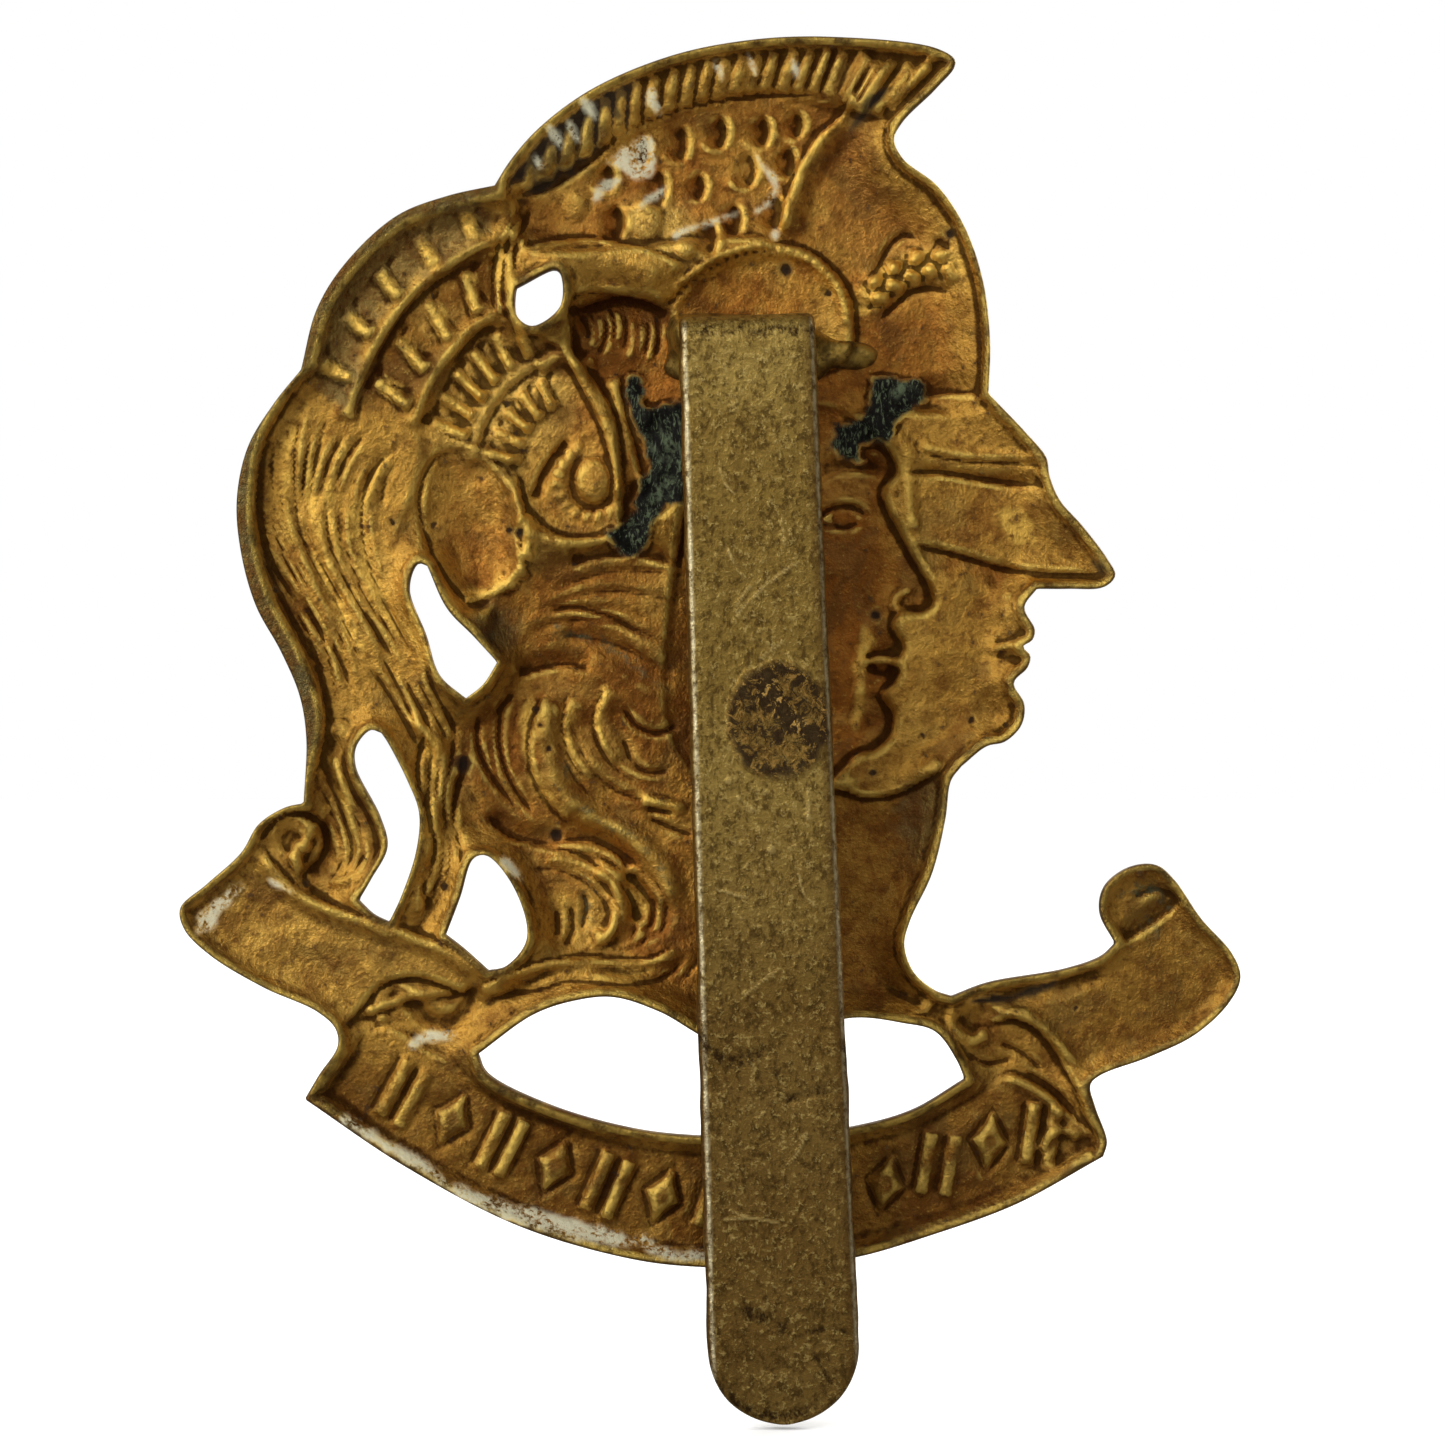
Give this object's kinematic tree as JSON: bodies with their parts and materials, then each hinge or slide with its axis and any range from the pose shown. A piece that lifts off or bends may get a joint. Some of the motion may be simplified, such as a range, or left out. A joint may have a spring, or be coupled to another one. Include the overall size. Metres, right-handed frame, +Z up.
{
  "type": "cap badge",
  "caption": "Struck brass cap badge of two helmeted heads over a scroll, with a flat slider brazed on its hollow back.",
  "frame": {"origin": "on the plane of the plate's back rim, where the slider's root meets the plate", "axes": "as worn on a cap: +Z up, -Y out of the front, +Y out of the hollow back towards the wearer"},
  "size_m": [0.04, 0.0053, 0.0519],
  "materials": {
    "plate_brass": "aged struck brass, orange-brown in the hollows, olive on the rims",
    "slider_brass": "dull olive rolled strip with worn bright edges",
    "braze": "yellow braze, lumpy, slightly tarnished"
  },
  "bodies": {
    "root": {"struck_plate": "plate_brass", "slider": "slider_brass", "braze_seam": "braze"}
  },
  "joints": []
}
